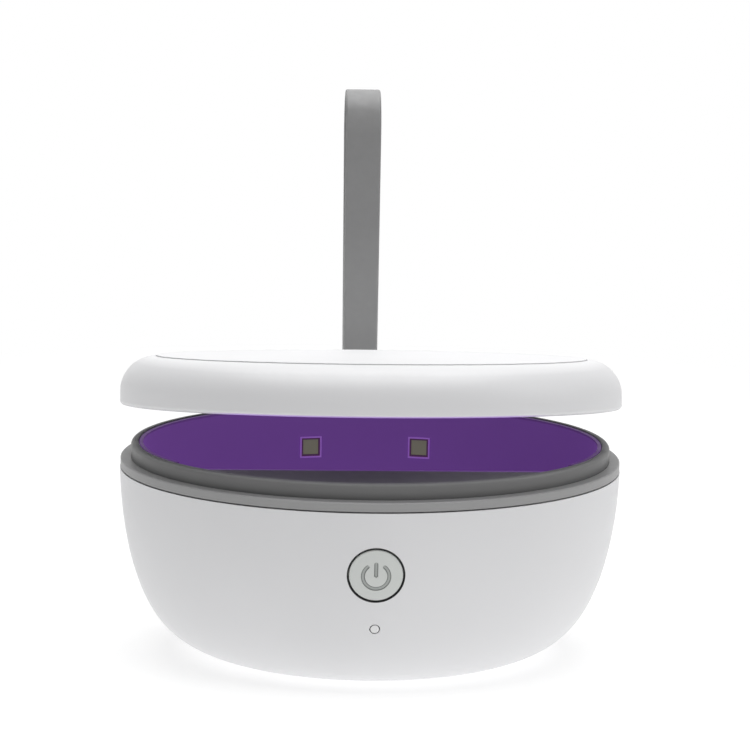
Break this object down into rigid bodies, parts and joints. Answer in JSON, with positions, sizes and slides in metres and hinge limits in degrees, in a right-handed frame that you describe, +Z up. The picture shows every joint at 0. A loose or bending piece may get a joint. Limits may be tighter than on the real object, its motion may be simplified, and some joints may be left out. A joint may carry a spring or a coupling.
{
  "type": "phone sanitizer box",
  "caption": "Oval ultraviolet sanitizer box for phones with a lined tray, tilting lid on a floating rear hinge, front power button and rear carrying strap.",
  "frame": {"origin": "on the resting face, under the middle of the bowl's oval", "axes": "+Z up; +Y to the rear, the hinge and strap side; +X to the user's right when facing the power button"},
  "size_m": [0.21, 0.2055, 0.2241],
  "materials": {
    "white_shell": "satin moulded plastic",
    "white_panel": "satin moulded plastic",
    "dark_rubber": "matt rubber",
    "grey_tray": "satin moulded plastic",
    "grey_trim": "satin moulded plastic",
    "violet_plastic": "glossy moulded plastic",
    "mirror_plastic": "vacuum-metallised plastic",
    "pale_violet_trim": "satin plastic",
    "violet_seal": "matt silicone",
    "quartz": "frosted quartz",
    "led_ceramic": "matt ceramic",
    "clear_lens": "frosted clear plastic",
    "circuit_board": "solder-masked laminate",
    "chip_black": "matt moulding compound",
    "cell_sleeve": "shrink-sleeved metal can",
    "screw_steel": "zinc-plated",
    "socket_steel": "drawn and polished",
    "magnet_nickel": "nickel-plated",
    "grey_plastic": "satin moulded plastic",
    "grey_silicone": "matt silicone",
    "button_plastic": "satin moulded plastic",
    "symbol_grey": "matt plastic inlay"
  },
  "bodies": {
    "base": {"base_shell": "white_shell", "foot_pad": "dark_rubber", "base_screws": "screw_steel", "trim_ring": "grey_trim", "inner_tray": "grey_tray", "violet_lining": "violet_plastic", "window_frames": "pale_violet_trim", "window_seals": "violet_seal", "quartz_windows": "quartz", "uv_leds": "led_ceramic", "lamp_boards": "circuit_board", "button_gasket": "dark_rubber", "tact_switch": "chip_black", "switch_board": "circuit_board", "switch_board_screws": "screw_steel", "indicator_lens": "clear_lens", "indicator_led": "led_ceramic", "main_board": "circuit_board", "board_chips": "chip_black", "board_screws": "screw_steel", "battery_cradle": "chip_black", "battery_cell": "cell_sleeve", "charging_board": "circuit_board", "charging_socket": "socket_steel", "base_magnet": "magnet_nickel", "lid_sensor": "chip_black", "hinge_housing": "white_shell", "housing_screws": "screw_steel", "strap_pin": "screw_steel"},
    "power_button": {"power_button": "button_plastic", "power_symbol": "symbol_grey", "switch_plunger": "grey_plastic"},
    "hinge_carriage": {"hinge_carriage": "grey_plastic", "hinge_pin": "screw_steel"},
    "lid": {"lid_shell": "white_shell", "lid_top_panel": "white_panel", "lid_liner": "grey_plastic", "lid_seal": "dark_rubber", "lid_reflector": "mirror_plastic", "lid_screws": "screw_steel", "lid_magnet": "magnet_nickel", "sensor_magnet": "magnet_nickel"},
    "strap": {"strap_clamp": "grey_plastic", "carry_strap": "grey_silicone"}
  },
  "joints": [
    {"name": "lid_lift", "type": "slide", "parent": "base", "child": "hinge_carriage", "axis": [0, 0, 1], "range_m": [-0.008, 0]},
    {"name": "lid_tilt", "type": "hinge", "parent": "hinge_carriage", "child": "lid", "pos_m": [0, 0.0787, 0.0918], "axis": [-1, 0, 0], "range_deg": [-9.7, 60.3]},
    {"name": "power_press", "type": "slide", "parent": "base", "child": "power_button", "axis": [0, 0.9961, 0.0877], "range_m": [0, 0.001], "stiffness_N_per_m": 600, "springref_m": -0.001},
    {"name": "strap_swing", "type": "hinge", "parent": "base", "child": "strap", "pos_m": [-0.0016, 0.0892, 0.062], "axis": [-1, 0, 0], "range_deg": [0, 85]}
  ]
}
